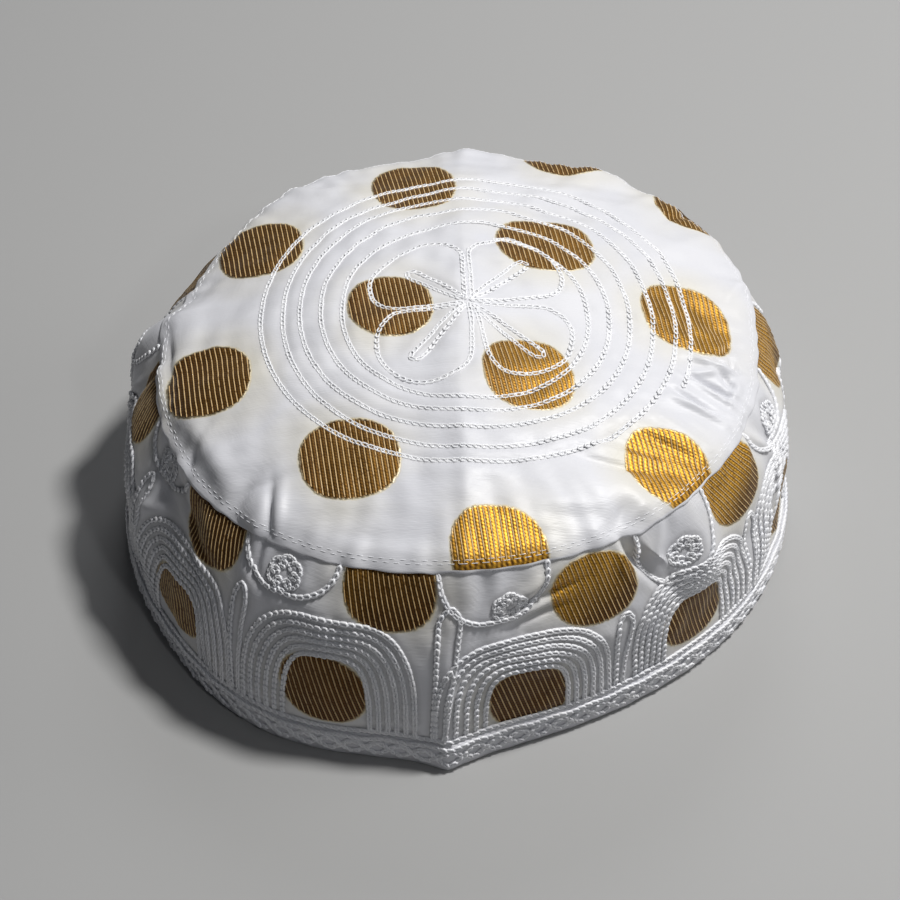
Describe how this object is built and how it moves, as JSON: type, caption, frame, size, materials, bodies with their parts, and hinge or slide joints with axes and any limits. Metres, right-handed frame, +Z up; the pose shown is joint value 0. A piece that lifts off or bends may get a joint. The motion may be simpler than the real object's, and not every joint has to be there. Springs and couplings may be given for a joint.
{
  "type": "taqiyah",
  "caption": "Soft round skullcap with a low domed crown, a puckered side band and a stitched hem strip, open underneath for a head.",
  "frame": {"origin": "middle of the cap's box, on the plane that the rim rests on", "axes": "+Z up through the crown, -Y to the front end of the crease over the crown, +X to the right"},
  "size_m": [0.1807, 0.1914, 0.073],
  "materials": {
    "crown_satin": "white satin with woven gold and brown ribbed dots and white chain-stitch rings",
    "band_satin": "white satin with woven gold and brown ribbed dots and white chain-stitch arches",
    "hem_satin": "white satin strip with a waving line of white chain stitch"
  },
  "bodies": {
    "root": {"crown": "crown_satin", "side_band": "band_satin", "hem_strip": "hem_satin"}
  },
  "joints": []
}
